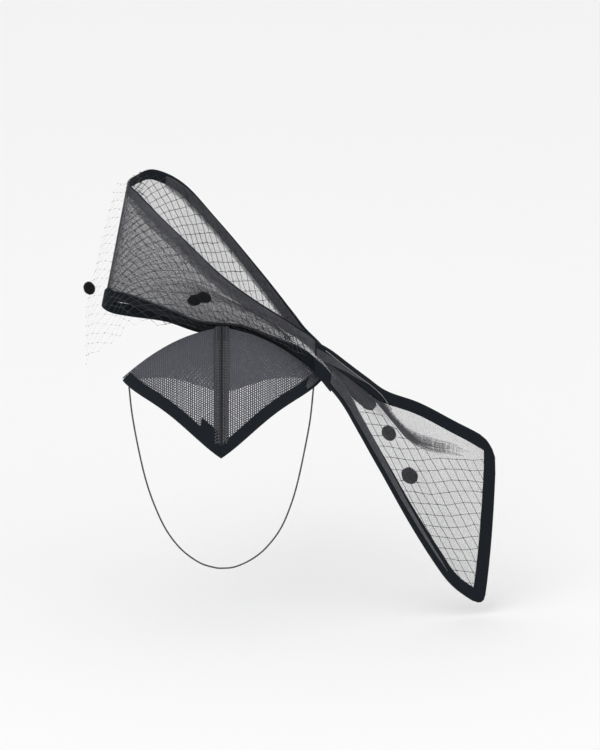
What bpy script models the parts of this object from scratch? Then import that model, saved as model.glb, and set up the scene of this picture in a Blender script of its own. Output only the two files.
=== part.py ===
"""Bow headpiece: a pointed net cap, a velvet-edged mesh bow, dotted veiling and a hat elastic.

Metres, +Z up. The cap's corners point to the front (-Y), the back (+Y) and both sides.
The origin is the inside of the crown, where the cap sits on a head.
"""

import math

import bmesh
import bpy
from mathutils import Matrix, Vector

# Cap
CAP_WIDTH = 0.179
CAP_LENGTH = 0.170
SIDE_DROP = 0.043
FRONT_DROP = 0.089
BACK_DROP = 0.085
RIM_WAVE = 0.003
RIM_POWER = 1.12
CROWN_POWER = 1.8
CAP_WALL = 0.001
TAPE_WIDTH = 0.012
TAPE_THICKNESS = 0.001
TAPE_FRONT_REACH = 0.90
TAPE_BACK_REACH = 0.98
BINDING_END_REACH = 0.90

# Velvet ribbon and the gap that neighbouring pieces keep
RIBBON_WIDTH = 0.0095
RIBBON_THICKNESS = 0.001
CLEARANCE = 0.0004

# Bow, measured from the pinch where it is gathered and sewn to the cap's right corner
PINCH_OUT = 0.0005
PINCH_FRONT = 0.004
PINCH_RISE = 0.003
PINCH = Vector((CAP_WIDTH / 2 + PINCH_OUT, -PINCH_FRONT, PINCH_RISE - SIDE_DROP))
MESH_WALL = 0.001
LOOP_REACH = 0.200
LOOP_DEPTH = 0.080
LOOP_HEIGHT = 0.150
ROLL_WIDTH = 0.022
TAIL_REACH = 0.158
TAIL_DEPTH = 0.040
TAIL_DROP = 0.210
TAIL_STEP_SOFTNESS = 0.009
RIBBON_END_DEPTH = 0.0022
RIBBON_END_PLACES = (1.3, 3.6)
RIBBON_END_SHARES = (0.55, 0.62)
TAIL_END_BOW = 0.10
TAIL_TIP = (0.35, 0.07)
TAIL_CORNER = (0.75, 0.11)

# Thread bar between the bow and the cap, under the back layer near the pinch
TACK_PLACE = 16.0
TACK_DIAMETER = 0.002
TACK_GAP = 0.0018

# Veiling and its dots. The loop's veil runs from the fold towards the pinch over a share of the front layer,
# and hangs below its low edge on the left.
VEIL_STRAND = 0.001
VEIL_CLEARANCE = 0.003
TAIL_VEIL_CLEARANCE = 0.0045
VEIL_SPAN = 0.84
VEIL_HANG = 0.052
VEIL_HANG_SPAN = 0.45
VEIL_HEM_RISE = 0.2
VEIL_OVERHANG = 0.010
VEIL_OVERHANG_SPAN = 0.15
VEIL_RISE = 0.0135
VEIL_FOLD_CLEARANCE = 0.007
VEIL_FOLD_SPAN = 0.35
TAIL_VEIL_SHARES = (0.07, 0.65)
TAIL_VEIL_START = 2.0
TAIL_VEIL_END = 0.2
DOT_DIAMETER = 0.012
DOT_THICKNESS = 0.008

# Elastic, which hangs from just inside the cap's side corners
ELASTIC_DIAMETER = 0.0015
ELASTIC_INSET = 0.0065
ELASTIC_REACH = CAP_WIDTH / 2 - ELASTIC_INSET
ELASTIC_BELOW = 0.009
ELASTIC_TOP = -SIDE_DROP - ELASTIC_BELOW
ELASTIC_POINTS = 64
ELASTIC_DROP = 0.173
ELASTIC_DEPTH = -0.006

# Each row is one gather line across the loop's strip, from the front layer's end at the pinch, round the
# fold on the left, to the back layer's end at the pinch. Along, depth and rise are shares of LOOP_REACH,
# LOOP_DEPTH and LOOP_HEIGHT; bulge is a share of LOOP_DEPTH; roll is in degrees.
LOOP_COLUMNS = ("low_along", "low_depth", "low_rise", "top_along", "top_depth", "top_rise", "bulge", "roll")
LOOP_ROWS = (
    (-0.04, -0.025, -0.099, -0.06, -0.06, 0.083, 0.0, 0),
    (0.03, 0.025, 0.011, 0.03, -0.05, 0.22, 0.0, 0),
    (0.11, 0.10, 0.104, 0.105, -0.05, 0.293, 0.01, 0),
    (0.21, 0.225, 0.148, 0.20, -0.03, 0.372, 0.02, 0),
    (0.37, 0.40, 0.203, 0.325, 0.0, 0.479, 0.04, 0),
    (0.55, 0.463, 0.214, 0.46, -0.04, 0.632, 0.06, 0),
    (0.705, 0.438, 0.297, 0.595, -0.05, 0.817, 0.08, 0),
    (0.865, 0.40, 0.381, 0.73, -0.04, 0.998, 0.08, 0),
    (0.95, 0.35, 0.403, 0.82, 0.05, 1.114, 0.04, 0),
    (0.985, 0.463, 0.35, 0.87, 0.225, 1.155, 0.0, 0),
    (0.95, 0.575, 0.295, 0.835, 0.475, 1.168, 0.04, 0),
    (0.865, 0.60, 0.267, 0.75, 0.65, 1.172, 0.08, 10),
    (0.705, 0.625, 0.23, 0.613, 0.775, 1.057, 0.08, 35),
    (0.55, 0.625, 0.16, 0.462, 0.80, 0.825, 0.06, 55),
    (0.37, 0.55, 0.138, 0.288, 0.70, 0.547, 0.04, 50),
    (0.21, 0.40, 0.087, 0.149, 0.525, 0.328, 0.02, 35),
    (0.11, 0.263, 0.048, 0.081, 0.36, 0.234, 0.0, 15),
    (0.03, 0.15, -0.018, 0.017, 0.22, 0.171, 0.0, 5),
    (-0.04, 0.09, -0.116, -0.07, 0.125, 0.057, 0.0, 0),
)

# Each row is one gather line across the tail, from the pinch to its cut end. Along, depth and drop are
# shares of TAIL_REACH, TAIL_DEPTH and TAIL_DROP. The step is the soft fold that runs out from the pinch: its
# place is a share of the strip's width and its size a share of TAIL_DEPTH. Roll is in degrees.
TAIL_COLUMNS = (
    "low_along", "low_depth", "low_drop", "top_along", "top_depth", "top_drop", "step", "step_place", "roll"
)
TAIL_ROWS = (
    (-0.04, -0.275, -0.023, -0.04, -0.325, -0.157, 0.02, 0.60, 0),
    (0.032, -0.30, 0.032, 0.04, -0.30, -0.119, 0.06, 0.60, 15),
    (0.136, -0.40, 0.125, 0.152, -0.20, -0.052, 0.14, 0.62, 30),
    (0.248, -0.55, 0.256, 0.281, -0.025, 0.019, 0.26, 0.66, 40),
    (0.352, -0.65, 0.396, 0.411, 0.10, 0.088, 0.35, 0.69, 40),
    (0.496, -0.70, 0.604, 0.589, 0.20, 0.151, 0.32, 0.70, 28),
    (0.649, -0.65, 0.81, 0.769, 0.25, 0.238, 0.14, 0.78, 10),
    (0.755, -0.60, 0.923, 0.881, 0.24, 0.286, 0.05, 0.85, 0),
    (0.92, -0.55, 1.018, 0.99, 0.20, 0.335, 0.0, 0.90, 0),
)

# Points of the hanging elastic from the left corner to the right one, as shares of ELASTIC_REACH and
# ELASTIC_DROP.
ELASTIC_COLUMNS = ("across", "drop")
ELASTIC_ROUTE = (
    (-1.007, 0.0),
    (-0.976, 0.15),
    (-0.912, 0.335),
    (-0.833, 0.51),
    (-0.737, 0.655),
    (-0.611, 0.79),
    (-0.451, 0.895),
    (-0.26, 0.967),
    (-0.10, 0.995),
    (0.0, 1.0),
    (0.137, 0.992),
    (0.312, 0.952),
    (0.472, 0.888),
    (0.631, 0.783),
    (0.742, 0.655),
    (0.822, 0.519),
    (0.90, 0.335),
    (0.957, 0.175),
    (0.993, 0.0),
)

# Each dot: the veil that carries it, then its place on that veil as shares of the veil's length and width,
# its diameter as a share of DOT_DIAMETER, and its turn in degrees.
DOT_COLUMNS = ("name", "veil", "along", "up", "size", "turn")
DOTS = (
    ("veil_dot_left", "loop", 0.045, 0.317, 1.0, 0),
    ("veil_dot_middle_outer", "loop", 0.462, 0.224, 1.0, 20),
    ("veil_dot_middle_inner", "loop", 0.523, 0.201, 1.0, -20),
    ("veil_dot_tail_upper", "tail", 0.36, 0.775, 1.1, 30),
    ("veil_dot_tail_lower", "tail", 0.50, 0.48, 1.25, 10),
)


def clear_scene():
    for obj in list(bpy.data.objects):
        bpy.data.objects.remove(obj, do_unlink=True)


def collection(name):
    made = bpy.data.collections.new(name)
    bpy.context.scene.collection.children.link(made)
    return made


def material(name, colour, roughness, metallic=0.0):
    made = bpy.data.materials.new(name)
    made.use_nodes = True
    shader = made.node_tree.nodes["Principled BSDF"]
    shader.inputs["Base Color"].default_value = (*colour, 1.0)
    shader.inputs["Roughness"].default_value = roughness
    shader.inputs["Metallic"].default_value = metallic
    return made


def add_object(name, mesh, finish, home):
    made = bpy.data.objects.new(name, mesh)
    mesh.materials.append(finish)
    mesh.shade_smooth()
    mesh.set_sharp_from_angle(angle=math.radians(35))
    home.objects.link(made)
    return made


def spline(rows, place):
    """The row at a fractional place, on a smooth curve through the rows and a little past its ends."""
    first = min(max(int(place), 0), len(rows) - 2)
    t = place - first
    here, after = rows[first], rows[first + 1]
    before = rows[first - 1] if first else [2 * a - b for a, b in zip(here, after)]
    beyond = rows[first + 2] if first + 2 < len(rows) else [2 * b - a for a, b in zip(here, after)]
    return [
        0.5 * (2 * b + (c - a) * t + (2 * a - 5 * b + 4 * c - d) * t**2 + (3 * b - a - 3 * c + d) * t**3)
        for a, b, c, d in zip(before, here, after, beyond)
    ]


def smooth_step(share):
    share = min(max(share, 0.0), 1.0)
    return share * share * (3 - 2 * share)


def cap_surface(turn, reach):
    """A point of the cap's middle surface.

    Turn runs round the rim: -1 is the left corner, 0 the front point, 1 the right corner and 2 or -2 the
    back point. Reach runs from the crown, 0, to the rim, 1.
    """
    toward_end = 1 - abs(turn) if abs(turn) <= 1 else abs(turn) - 1
    toward_side = 1 - toward_end
    rounded = (toward_side**RIM_POWER + toward_end**RIM_POWER) ** (1 / RIM_POWER)
    x = math.copysign(CAP_WIDTH / 2 * reach * toward_side / rounded, turn)
    y = CAP_LENGTH / 2 * reach * toward_end / rounded
    end_drop = FRONT_DROP if abs(turn) <= 1 else BACK_DROP
    wave = RIM_WAVE * math.sin(math.tau * (toward_end - 0.25))
    drop = SIDE_DROP + (end_drop - SIDE_DROP) * toward_end - wave
    z = CAP_WALL / 2 - drop * reach**CROWN_POWER
    return Vector((x, -y if abs(turn) <= 1 else y, z))


def across(low, top, tangent, share, bulge, top_roll, low_roll, step, step_place):
    """A point of a strip's cross-section from its low edge, share 0, to its top edge, share 1."""
    width = (top - low).length
    up = (top - low) / width
    out = up.cross(tangent).normalized()
    rise, push = share * width, bulge * 4 * share * (1 - share)
    part = min(ROLL_WIDTH / width, 0.5)
    for angle, inner, sign in ((top_roll, share - (1 - part), 1), (low_roll, part - share, -1)):
        if angle > 0.01 and inner > 0:
            turn, length = angle * inner / part, part * width
            rise += sign * (length * math.sin(turn) / angle - inner * width)
            push += length * (1 - math.cos(turn)) / angle
    if step:
        push += step * smooth_step(0.5 + (share - step_place) * width / (2 * TAIL_STEP_SOFTNESS))
    return low + up * rise + out * push


def loop_row(place):
    row = dict(zip(LOOP_COLUMNS, spline(LOOP_ROWS, place)))
    low, top = (
        PINCH
        + Vector(
            (
                -row[edge + "_along"] * LOOP_REACH,
                row[edge + "_depth"] * LOOP_DEPTH,
                row[edge + "_rise"] * LOOP_HEIGHT,
            )
        )
        for edge in ("low", "top")
    )
    return low, top, row


def loop_surface(place, share):
    """A point of the loop's strip; place runs from 0 to the last row."""
    low, top, row = loop_row(place)
    nearby = 0.05
    ahead, behind = (loop_row(place + sign * nearby) for sign in (1, -1))
    tangent = ahead[0] + ahead[1] - behind[0] - behind[1]
    roll = math.radians(max(row["roll"], 0.0))
    return across(low, top, tangent, share, row["bulge"] * LOOP_DEPTH, roll, 0.0, 0.0, 0.0)


def tail_row(place):
    row = dict(zip(TAIL_COLUMNS, spline(TAIL_ROWS, place)))
    low, top = (
        PINCH
        + Vector(
            (
                row[edge + "_along"] * TAIL_REACH,
                row[edge + "_depth"] * TAIL_DEPTH,
                -row[edge + "_drop"] * TAIL_DROP,
            )
        )
        for edge in ("low", "top")
    )
    return low, top, row


def tail_surface(place, share):
    """A point of the tail's strip; place runs from 0 at the pinch to the last row at its end."""
    low, top, row = tail_row(place)
    nearby = 0.05
    ahead, behind = (tail_row(place + sign * nearby) for sign in (1, -1))
    tangent = ahead[0] + ahead[1] - behind[0] - behind[1]
    roll = math.radians(max(row["roll"], 0.0))
    step = row["step"] * TAIL_DEPTH
    return across(low, top, tangent, share, 0.0, 0.0, roll, step, row["step_place"])


def tail_end(share):
    """The place of the tail's cut end at a share of its width, bowed and with rounded corners."""
    length, width = TAIL_TIP if share < 0.5 else TAIL_CORNER
    corner = max(1 - min(share, 1 - share) / width, 0.0)
    bow = TAIL_END_BOW * 4 * share * (1 - share)
    return len(TAIL_ROWS) - 1 + bow - length * (1 - math.sqrt(1 - corner**2))


def slopes(surface, place, share):
    step = 0.002
    along = surface(place + step, share) - surface(place - step, share)
    up = surface(place, share + step) - surface(place, share - step)
    return along / (2 * step), up / (2 * step)


def normal(surface, place, share):
    along, up = slopes(surface, place, share)
    return along.cross(up).normalized()


def lerp(low, high, count):
    return [low + (high - low) * i / (count - 1) for i in range(count)]


def grid_mesh(name, rows):
    """An open quad mesh through rows of points, with coinciding points merged."""
    shape = bmesh.new()
    points = [[shape.verts.new(point) for point in row] for row in rows]
    for low, high in zip(points, points[1:]):
        for a, b, c, d in zip(low, low[1:], high[1:], high):
            shape.faces.new((a, b, c, d))
    bmesh.ops.remove_doubles(shape, verts=shape.verts, dist=1e-6)
    bmesh.ops.dissolve_degenerate(shape, edges=shape.edges, dist=1e-7)
    bmesh.ops.recalc_face_normals(shape, faces=shape.faces)
    mesh = bpy.data.meshes.new(name)
    shape.to_mesh(mesh)
    shape.free()
    return mesh


def thicken(obj, wall):
    solid = obj.modifiers.new("Wall", "SOLIDIFY")
    solid.thickness = wall
    solid.offset = 0.0
    return solid


def loft(name, sections, finish, home):
    """A closed solid through closed sections that have the same number of points."""
    shape = bmesh.new()
    loops = [[shape.verts.new(point) for point in section] for section in sections]
    for low, high in zip(loops, loops[1:]):
        for i in range(len(low)):
            j = (i + 1) % len(low)
            shape.faces.new((low[i], low[j], high[j], high[i]))
    half = len(loops[0]) // 2
    for ring in (loops[0], loops[-1]):
        for i in range(half - 1):
            shape.faces.new((ring[i], ring[i + 1], ring[-2 - i], ring[-1 - i]))
    bmesh.ops.remove_doubles(shape, verts=shape.verts, dist=1e-5)
    bmesh.ops.recalc_face_normals(shape, faces=shape.faces)
    mesh = bpy.data.meshes.new(name)
    shape.to_mesh(mesh)
    shape.free()
    return add_object(name, mesh, finish, home)


def ribbon_inset(surface, place, share):
    """How far a ribbon's width reaches in from an edge: in places along and in shares up."""
    along, up = slopes(surface, place, share)
    sine = math.sin(along.angle(up))
    return RIBBON_WIDTH / (along.length * sine), RIBBON_WIDTH / (up.length * sine)


def strip_sections(surface, stations, reaches, face_in, face_out):
    """Sections of a flat ribbon, whose reaches are shares of the way from each station's first spot to its
    second, between two distances off the sheet's middle."""
    sections = []
    for outer, inner in stations:
        near, far = [], []
        for reach in reaches:
            spot = outer + (inner - outer) * reach
            point, face = surface(*spot), normal(surface, *spot)
            near.append(point + face * face_in)
            far.append(point + face * face_out)
        sections.append(near + far[::-1])
    return sections


def binding_sections(surface, stations, wall, reaches):
    """Sections of a ribbon folded over an edge: a U round the sheet, closed outside its edge."""
    inside = wall / 2 + CLEARANCE
    outside = inside + RIBBON_THICKNESS
    sections = []
    for outer, inner in stations:
        width = (surface(*inner) - surface(*outer)).length

        def side(offset, beyond):
            points = []
            for reach in (*reaches[::-1], -beyond / width):
                spot = outer + (inner - outer) * reach
                points.append(surface(*spot) + normal(surface, *spot) * offset)
            return points

        lining = side(inside, CLEARANCE) + side(-inside, CLEARANCE)[::-1]
        cover = side(outside, CLEARANCE + RIBBON_THICKNESS) + side(-outside, CLEARANCE + RIBBON_THICKNESS)[::-1]
        sections.append(lining + cover[::-1])
    return sections


def diamond_net(name, surface, columns, rows, finish, home):
    """A lattice of diamond gaps over a surface whose two shares both run from 0 to 1."""
    shape = bmesh.new()
    points = {}

    def corner(i, j):
        if (i, j) not in points:
            points[i, j] = shape.verts.new(surface(i / columns, j / rows))
        return points[i, j]

    for i in range(columns - 1):
        for j in range(rows - 1):
            if (i + j) % 2 == 0:
                shape.faces.new((corner(i, j + 1), corner(i + 1, j), corner(i + 2, j + 1), corner(i + 1, j + 2)))
    bmesh.ops.recalc_face_normals(shape, faces=shape.faces)
    mesh = bpy.data.meshes.new(name)
    shape.to_mesh(mesh)
    shape.free()
    made = add_object(name, mesh, finish, home)
    strands = made.modifiers.new("Strands", "WIREFRAME")
    strands.thickness = VEIL_STRAND
    strands.use_boundary = True
    strands.use_replace = True
    strands.use_even_offset = True
    return made


def make_cap(home, cutters, net, velvet):
    quarter = [0.0, 0.03, *lerp(0.1, 0.9, 7), 0.97]
    turns = [-2 + turn for turn in quarter] + [-1 + turn for turn in quarter]
    turns += quarter + [1 + turn for turn in quarter] + [2.0]

    def binding_reach(turn):
        """Where the binding's inner edge lies; a corner takes its neighbour's place."""
        away = abs(turn) - round(abs(turn))
        beside = abs(turn) if abs(away) > 0.02 else abs(round(abs(turn)) - 0.03)
        return 1 - ribbon_inset(cap_surface, beside, 1.0)[1]

    shell = [[cap_surface(turn, share * binding_reach(turn)) for turn in turns] for share in lerp(0.0, 1.0, 8)]
    shell.append([cap_surface(turn, 1.0) for turn in turns])
    for side, name in ((-1, "cap_panel_left"), (1, "cap_panel_right")):
        panel = add_object(name, grid_mesh(name, shell), net, home)
        thicken(panel, CAP_WALL)
        bpy.ops.mesh.primitive_cube_add(size=1)
        half = bpy.context.active_object
        half.name = name + "_cutter"
        half.data.transform(Matrix.Diagonal((CAP_WIDTH, 2 * CAP_LENGTH, 4 * FRONT_DROP, 1.0)))
        half.location = (side * (CAP_WIDTH + CLEARANCE) / 2, 0, 0)
        half.hide_render = True
        half.display_type = "WIRE"
        for owner in list(half.users_collection):
            owner.objects.unlink(half)
        cutters.objects.link(half)
        cut = panel.modifiers.new("Seam", "BOOLEAN")
        cut.operation = "INTERSECT"
        cut.object = half
        cut.solver = "EXACT"

    front = [turn for turn in turns if abs(turn) < 0.98]
    stations = [(Vector((turn, 1.0)), Vector((turn, binding_reach(turn)))) for turn in front]
    loft("cap_binding", binding_sections(cap_surface, stations, CAP_WALL, (0.0, 1.0)), velvet, home)

    stations = []
    for turn in (-0.03, -0.1, -0.2):
        inset = ribbon_inset(cap_surface, turn, BINDING_END_REACH)[1]
        stations.append((Vector((turn, BINDING_END_REACH)), Vector((turn, BINDING_END_REACH - inset))))
    near = CAP_WALL / 2 + CLEARANCE
    sections = strip_sections(cap_surface, stations, (0.0, 1.0), near, near + RIBBON_THICKNESS)
    loft("cap_binding_end", sections, velvet, home)


def cap_top(x, y):
    """A point of the cap's middle surface over a point of its plan."""
    side, end = abs(x) / (CAP_WIDTH / 2), abs(y) / (CAP_LENGTH / 2)
    reach = (side**RIM_POWER + end**RIM_POWER) ** (1 / RIM_POWER)
    turn = side / (side + end)
    turn = turn if y < 0 else 2 - turn
    return cap_surface(math.copysign(turn, x), reach)


def make_tape(home, net):
    sections = []
    near = CAP_WALL / 2 + CLEARANCE
    for along in lerp(-1.0, 1.0, 31):
        reach = TAPE_FRONT_REACH if along < 0 else TAPE_BACK_REACH
        low, high = [], []
        for x in lerp(-TAPE_WIDTH / 2, TAPE_WIDTH / 2, 6):
            side = abs(x) / (CAP_WIDTH / 2)
            y = along * CAP_LENGTH / 2 * (reach**RIM_POWER - side**RIM_POWER) ** (1 / RIM_POWER)
            nearby = 0.002
            slope_x = cap_top(x + nearby, y) - cap_top(x - nearby, y)
            slope_y = cap_top(x, y + nearby) - cap_top(x, y - nearby)
            face = slope_x.cross(slope_y).normalized()
            low.append(cap_top(x, y) + face * near)
            high.append(cap_top(x, y) + face * (near + TAPE_THICKNESS))
        sections.append(low + high[::-1])
    loft("cap_seam_tape", sections, net, home)


def make_elastic(home, finish):
    curve = bpy.data.curves.new("hat_elastic", "CURVE")
    curve.dimensions = "3D"
    curve.bevel_depth = ELASTIC_DIAMETER / 2
    curve.bevel_resolution = 2
    curve.use_fill_caps = True
    line = curve.splines.new("POLY")
    points = [spline(ELASTIC_ROUTE, place) for place in lerp(0.0, len(ELASTIC_ROUTE) - 1.0, ELASTIC_POINTS)]
    line.points.add(len(points) - 1)
    for point, (across_share, drop_share) in zip(line.points, points):
        z = ELASTIC_TOP - drop_share * ELASTIC_DROP
        point.co = (across_share * ELASTIC_REACH, ELASTIC_DEPTH, z, 1.0)
    made = bpy.data.objects.new("hat_elastic", curve)
    curve.materials.append(finish)
    home.objects.link(made)


def make_loop(home, net, velvet):
    last = len(LOOP_ROWS) - 1
    fold = last / 2
    places = lerp(0.0, fold - 2, 15)[:-1] + lerp(fold - 2, fold + 2, 17) + lerp(fold + 2, last, 15)[1:]
    low_edge, top_edge, lines = [], [], []
    for place in places:
        low = ribbon_inset(loop_surface, place, 0.0)[1]
        top = 1 - ribbon_inset(loop_surface, place, 1.0)[1]
        low_edge.append((Vector((place, 0.0)), Vector((place, low))))
        top_edge.append((Vector((place, 1.0)), Vector((place, top))))
        shares = [0.0, low / 2] + lerp(low, top, 6) + [(2 * top + 1) / 3, (top + 2) / 3, 1.0]
        lines.append([loop_surface(place, share) for share in shares])
    thicken(add_object("bow_loop", grid_mesh("bow_loop", lines), net, home), MESH_WALL)

    near = MESH_WALL / 2 + CLEARANCE
    sections = strip_sections(loop_surface, top_edge, lerp(0.0, 1.0, 4), near, near + RIBBON_THICKNESS)
    loft("bow_loop_top_ribbon", sections, velvet, home)
    sections = binding_sections(loop_surface, low_edge, MESH_WALL, (0.0, 0.5, 1.0))
    loft("bow_loop_bottom_binding", sections, velvet, home)


def tail_spots():
    """The grid of spots that the tail's net and its binding share, with lines at the binding's inner edge.

    The grid is a list of lines along the tail, from its low edge to its top edge.
    """
    band = (0.0, 0.12, 0.45, 1.0)
    lengths, widths = 14, 8

    def spread(count, low_band, high_band):
        """Shares from 0 to 1 whose ends are divided like the band."""
        low = [low_band * share for share in band] if low_band else [0.0]
        high = [1 - high_band * share for share in band[::-1]]
        return low + lerp(low[-1], high[0], count)[1:-1] + high

    def end_band(share):
        end = tail_end(share)
        return ribbon_inset(tail_surface, end, share)[0] / end

    middle = spread(lengths, 0.0, end_band(0.5))
    rows = []
    for j in range(widths + 6):
        row = []
        for i, along in enumerate(middle):
            for _ in range(3):
                place = min(along * tail_end(0.5), len(TAIL_ROWS) - 1.0)
                low = ribbon_inset(tail_surface, place, 0.0)[1]
                top = ribbon_inset(tail_surface, place, 1.0)[1]
                share = spread(widths, low, top)[j]
                inside = min(max(share, TAIL_TIP[1]), 1 - TAIL_CORNER[1])
                along = spread(lengths, 0.0, end_band(inside))[i]
            row.append(Vector((along * tail_end(share), share)))
        rows.append(row)
    return rows, len(band) - 1


def make_tail(home, net, velvet):
    rows, band = tail_spots()
    lines = [[tail_surface(*spot) for spot in row] for row in rows]
    thicken(add_object("bow_tail", grid_mesh("bow_tail", lines), net, home), MESH_WALL)

    low, top = rows[0], rows[-1]
    corner = len(low) - 1 - band
    stations = [(low[i], rows[band][min(i, corner)]) for i in range(len(low) - 1)]
    for j, row in enumerate(rows):
        stations.append((row[-1], rows[min(max(j, band), len(rows) - 1 - band)][corner]))
    stations += [(top[i], rows[-1 - band][min(i, corner)]) for i in reversed(range(len(top) - 1))]
    sections = binding_sections(tail_surface, stations, MESH_WALL, (0.0, 0.45, 1.0))
    loft("bow_tail_binding", sections, velvet, home)

    near = -RIBBON_END_DEPTH
    stations = []
    for place, share in zip(lerp(*RIBBON_END_PLACES, 7), lerp(*RIBBON_END_SHARES, 7)):
        half = ribbon_inset(tail_surface, place, share)[1] / 2
        stations.append((Vector((place, share - half)), Vector((place, share + half))))
    sections = strip_sections(tail_surface, stations, (0.0, 0.5, 1.0), near, near - RIBBON_THICKNESS)
    loft("bow_ribbon_end", sections, velvet, home)


def loop_veil(along, up):
    """A point of the veil in front of the loop, from its hem to where it passes over the back layer."""
    fold = (len(LOOP_ROWS) - 1) / 2
    place = fold * (1 - VEIL_SPAN * along)
    front, back = place, 2 * fold - place
    hang = VEIL_HANG * max(1 - along / VEIL_HANG_SPAN, 0.0) ** 1.5
    hem = VEIL_HEM_RISE * smooth_step((along - 0.2) / 0.25)
    open_share = smooth_step((along - 0.1) / 0.25)
    line = []
    off = VEIL_CLEARANCE + (VEIL_FOLD_CLEARANCE - VEIL_CLEARANCE) * smooth_step(1 - along / VEIL_FOLD_SPAN)
    for share in lerp(hem, 1.0, 6):
        line.append(loop_surface(front, share) - normal(loop_surface, front, share) * off)
    line.insert(0, line[0] - Vector((0, 0, hang + VEIL_STRAND)))
    for edge, rise in ((front, 1.0), (back, 1.0 - open_share)):
        rim = loop_surface(edge, 1.0)
        line.append(rim + (rim - loop_surface(edge, 0.9)).normalized() * VEIL_RISE * rise)
    line[-1] += normal(loop_surface, back, 1.0) * VEIL_CLEARANCE * open_share
    lengths = [0.0]
    for low, high in zip(line, line[1:]):
        lengths.append(lengths[-1] + (high - low).length)
    wanted = up * lengths[-1]
    part = next(i for i in range(1, len(line)) if wanted <= lengths[i] + 1e-9)
    share = (wanted - lengths[part - 1]) / (lengths[part] - lengths[part - 1])
    point = line[part - 1].lerp(line[part], share)
    edge = max(1 - along / VEIL_OVERHANG_SPAN, 0.0) * (1 - up) ** 0.5
    return point - Vector((VEIL_OVERHANG * edge, 0, 0))


def tail_veil(along, up):
    """A point of the veil behind the tail's mesh."""
    low, top = TAIL_VEIL_SHARES
    share = low + up * (top - low)
    place = TAIL_VEIL_START + along * (tail_end(share) - TAIL_VEIL_END - TAIL_VEIL_START)
    return tail_surface(place, share) - normal(tail_surface, place, share) * TAIL_VEIL_CLEARANCE


def make_veils(home, net, chenille):
    diamond_net("loop_veil", loop_veil, 18, 12, net, home)
    diamond_net("tail_veil", tail_veil, 12, 10, net, home)
    for row in DOTS:
        dot = dict(zip(DOT_COLUMNS, row))
        surface, side = (loop_veil, 1) if dot["veil"] == "loop" else (tail_veil, -1)
        bpy.ops.mesh.primitive_uv_sphere_add(segments=12, ring_count=6, radius=0.5)
        ball = bpy.context.active_object
        ball.name = ball.data.name = dot["name"]
        face = normal(surface, dot["along"], dot["up"]) * side
        size = DOT_DIAMETER * dot["size"]
        lean = face.to_track_quat("Z", "Y").to_matrix().to_4x4()
        turn = Matrix.Rotation(math.radians(dot["turn"]), 4, "Z")
        ball.data.transform(lean @ turn @ Matrix.Diagonal((size, 0.85 * size, DOT_THICKNESS, 1.0)))
        seat = DOT_THICKNESS / 2 + VEIL_STRAND / 2 + CLEARANCE
        ball.data.transform(Matrix.Translation(surface(dot["along"], dot["up"]) + face * seat))
        ball.data.materials.append(chenille)
        ball.data.shade_smooth()
        for owner in list(ball.users_collection):
            owner.objects.unlink(ball)
        home.objects.link(ball)


def make_tacks(home, finish):
    """The thread bar that holds the bow's back layer up off the cap."""
    low_edge = loop_surface(TACK_PLACE, 0.0)
    foot = cap_top(low_edge.x, low_edge.y) + Vector((0, 0, CAP_WALL / 2 + TACK_GAP))
    head = low_edge - Vector((0, 0, RIBBON_THICKNESS + CLEARANCE + TACK_GAP))
    bpy.ops.mesh.primitive_cylinder_add(vertices=12, radius=TACK_DIAMETER / 2, depth=(head - foot).length)
    bar = bpy.context.active_object
    bar.name = bar.data.name = "bow_tack"
    bar.data.transform((head - foot).to_track_quat("Z", "Y").to_matrix().to_4x4())
    bar.data.transform(Matrix.Translation((head + foot) / 2))
    bar.data.materials.append(finish)
    for owner in list(bar.users_collection):
        owner.objects.unlink(bar)
    home.objects.link(bar)


def main():
    clear_scene()
    parts = collection("bow_headpiece")
    cutters = collection("cutters")
    cap_net = material("cap_net", (0.045, 0.047, 0.054), 0.6)
    bow_mesh = material("bow_mesh", (0.075, 0.076, 0.084), 0.6)
    veil_net = material("veil_net", (0.022, 0.023, 0.028), 0.7)
    velvet = material("velvet", (0.012, 0.013, 0.018), 0.9)
    chenille = material("chenille", (0.010, 0.011, 0.014), 0.95)
    elastic = material("elastic", (0.070, 0.062, 0.065), 0.7)
    make_cap(parts, cutters, cap_net, velvet)
    make_tape(parts, cap_net)
    make_elastic(parts, elastic)
    make_loop(parts, bow_mesh, velvet)
    make_tail(parts, bow_mesh, velvet)
    make_tacks(parts, elastic)
    make_veils(parts, veil_net, chenille)


main()
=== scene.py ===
import math
import random

import bmesh
import bpy
from mathutils import Matrix, Vector


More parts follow.
